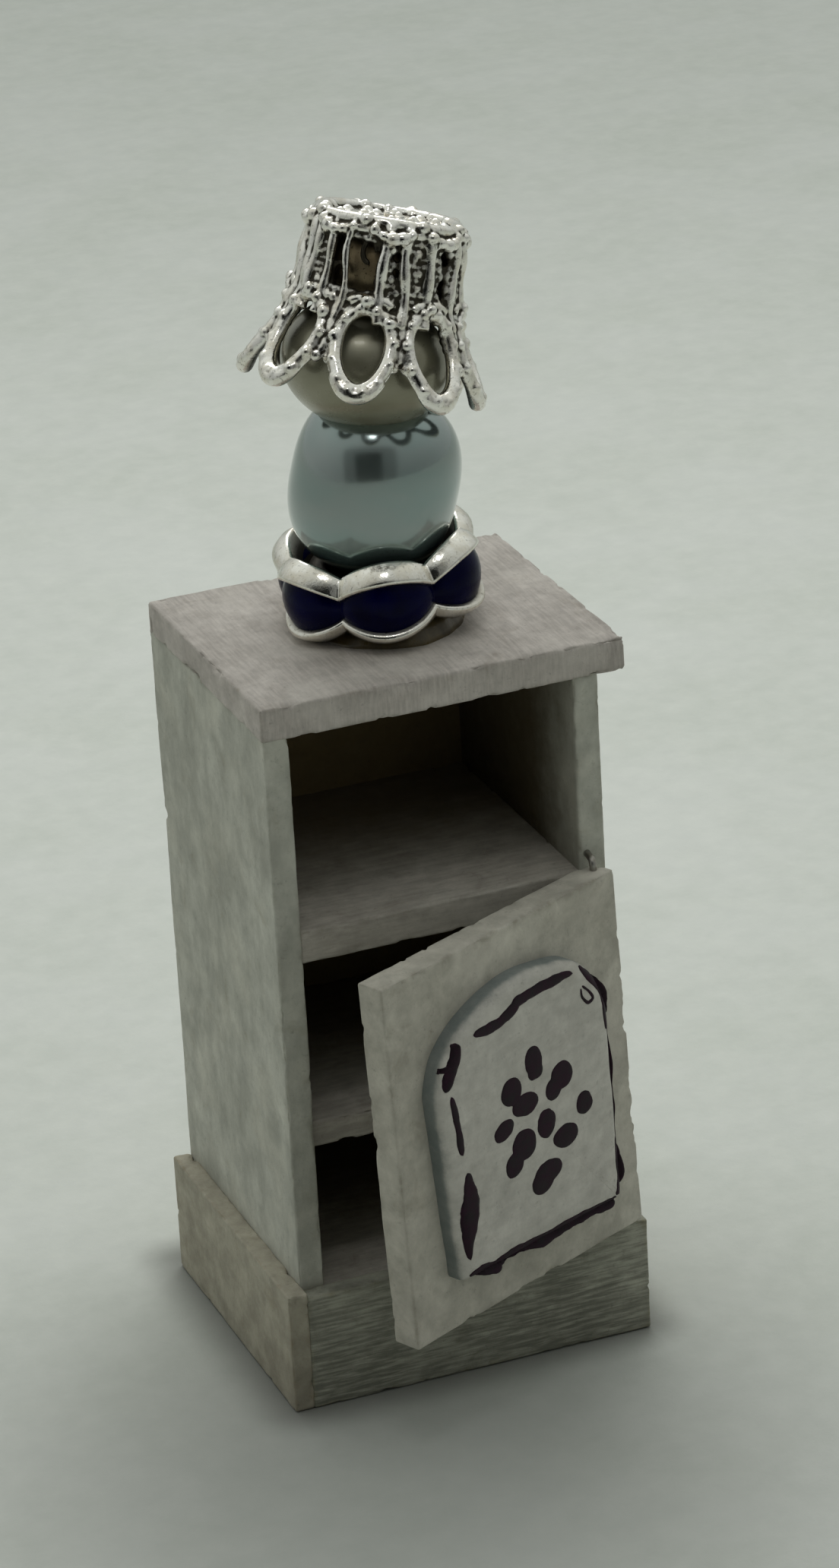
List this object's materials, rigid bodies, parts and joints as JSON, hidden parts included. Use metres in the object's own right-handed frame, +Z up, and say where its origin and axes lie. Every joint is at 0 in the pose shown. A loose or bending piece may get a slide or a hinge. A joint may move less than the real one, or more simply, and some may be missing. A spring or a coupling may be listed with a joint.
{
  "type": "dolls house bedside cabinet with lamp",
  "caption": "Painted miniature bedside cabinet with an open niche above a hinged door with a raised arched panel, and a bead lamp with a pierced metal shade fixed on top.",
  "frame": {"origin": "middle of the footprint of the whole piece, on the surface it stands on, with the door ajar", "axes": "+Z up, -Y towards the front with the door, +X to the viewer's right when facing the door"},
  "size_m": [0.0274, 0.034, 0.0814],
  "materials": {
    "painted_top": "hand brushed chalky off-white paint, worn edges",
    "painted_carcass": "hand brushed chalky off-white paint",
    "painted_door": "hand brushed off-white paint with dark plum painted flower and strokes",
    "painted_plinth": "thin streaky off-white paint over bare wood",
    "dark_interior": "dark stained, unpainted",
    "steel_wire": "drawn wire",
    "glue": "hardened brown glue",
    "silver": "bright silver plate, slightly tarnished",
    "blue_glass": "deep cobalt glass, polished",
    "pearl": "grey-green pearl coated glass, glossy",
    "smoke_glass": "smoky beige glass, glossy"
  },
  "bodies": {
    "root": {"top_board": "painted_top", "left_side": "painted_carcass", "right_side": "painted_carcass", "back_panel": "dark_interior", "niche_shelf": "painted_carcass", "lower_shelf": "painted_carcass", "floor_board": "painted_carcass", "plinth_front": "painted_plinth", "plinth_left": "painted_plinth", "plinth_right": "painted_plinth", "hinge_pin_top": "steel_wire", "hinge_pin_bottom": "steel_wire", "lamp_glue": "glue", "rondelle_bottom_flange": "silver", "rondelle_top_flange": "silver", "rondelle_core": "silver", "rondelle_stones": "blue_glass", "lamp_bead": "pearl", "lamp_upper_bead": "smoke_glass", "lamp_shade": "silver", "lamp_pin": "steel_wire"},
    "door": {"door": "painted_door", "door_panel": "painted_door"}
  },
  "joints": [
    {"name": "door_hinge", "type": "hinge", "parent": "root", "child": "door", "pos_m": [0.01141, -0.0063, 0.00885], "axis": [-0.0436, 0, 0.999], "range_deg": [-25.5, 80]}
  ]
}
